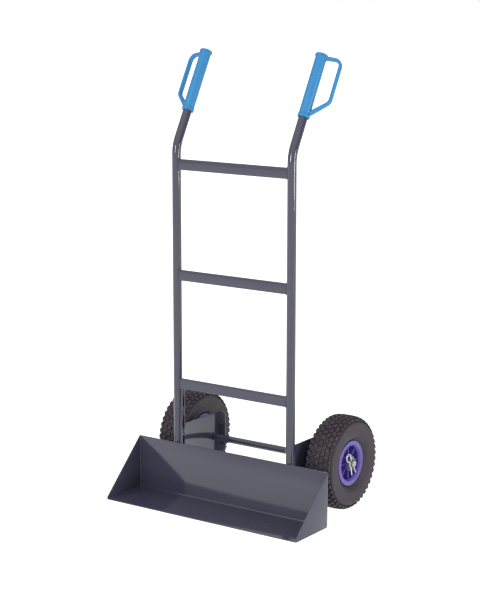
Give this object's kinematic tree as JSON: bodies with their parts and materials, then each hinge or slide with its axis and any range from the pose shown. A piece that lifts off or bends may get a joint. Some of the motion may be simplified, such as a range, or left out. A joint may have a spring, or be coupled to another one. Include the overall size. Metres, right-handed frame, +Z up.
{
  "type": "hand truck",
  "caption": "Two-wheeled hand truck: bent tube uprights with flat crossbars, scoop toe with end gussets, pneumatic wheels and guarded handgrips.",
  "frame": {"origin": "on the ground, in the middle of the footprint between the toe's front edge and the back of the tyres", "axes": "+Z up, -Y towards the toe, +X to the right seen from the toe; the axle is along X"},
  "size_m": [0.634, 0.4536, 1.2433],
  "materials": {
    "charcoal_paint": "semi-gloss charcoal powder coat",
    "axle_steel": "charcoal powder coat over a bright steel bar",
    "zinc_steel": "zinc plated, slightly dulled",
    "spring_wire": "bright plated spring wire",
    "blue_grip": "soft sky-blue moulded PVC",
    "tyre_rubber": "moulded tyre rubber",
    "butyl": "matt butyl rubber",
    "violet_plastic": "violet-blue moulded polypropylene",
    "bearing_steel": "ground bearing steel, greased",
    "cage_plastic": "dark green nylon",
    "valve_brass": "nickel plated brass",
    "black_plastic": "black moulded plastic"
  },
  "bodies": {
    "frame": {"toe_scoop": "charcoal_paint", "axle": "axle_steel", "upper_crossbar": "charcoal_paint", "middle_crossbar": "charcoal_paint", "lower_crossbar": "charcoal_paint", "left_upright": "charcoal_paint", "left_toe_gusset": "charcoal_paint", "left_wheel_bracket": "charcoal_paint", "left_axle_spacer": "zinc_steel", "left_inner_washer": "zinc_steel", "left_outer_washer": "zinc_steel", "left_r_clip": "spring_wire", "left_handgrip": "blue_grip", "right_upright": "charcoal_paint", "right_toe_gusset": "charcoal_paint", "right_wheel_bracket": "charcoal_paint", "right_axle_spacer": "zinc_steel", "right_inner_washer": "zinc_steel", "right_outer_washer": "zinc_steel", "right_r_clip": "spring_wire", "right_handgrip": "blue_grip"},
    "left_wheel": {"left_tyre": "tyre_rubber", "left_inner_tube": "butyl", "left_rim_outer_half": "violet_plastic", "left_rim_inner_half": "violet_plastic", "left_rim_bolts": "zinc_steel", "left_rim_nuts": "zinc_steel", "left_bearing_race": "bearing_steel", "left_bearing_cage": "cage_plastic", "left_bearing_rollers": "bearing_steel", "left_valve_stem": "valve_brass", "left_valve_cap": "black_plastic"},
    "right_wheel": {"right_tyre": "tyre_rubber", "right_inner_tube": "butyl", "right_rim_outer_half": "violet_plastic", "right_rim_inner_half": "violet_plastic", "right_rim_bolts": "zinc_steel", "right_rim_nuts": "zinc_steel", "right_bearing_race": "bearing_steel", "right_bearing_cage": "cage_plastic", "right_bearing_rollers": "bearing_steel", "right_valve_stem": "valve_brass", "right_valve_cap": "black_plastic"}
  },
  "joints": [
    {"name": "left_wheel_spin", "type": "hinge", "parent": "frame", "child": "left_wheel", "pos_m": [-0.2505, 0.09675, 0.13], "axis": [1, 0, 0], "continuous": true},
    {"name": "right_wheel_spin", "type": "hinge", "parent": "frame", "child": "right_wheel", "pos_m": [0.2505, 0.09675, 0.13], "axis": [1, 0, 0], "continuous": true}
  ]
}
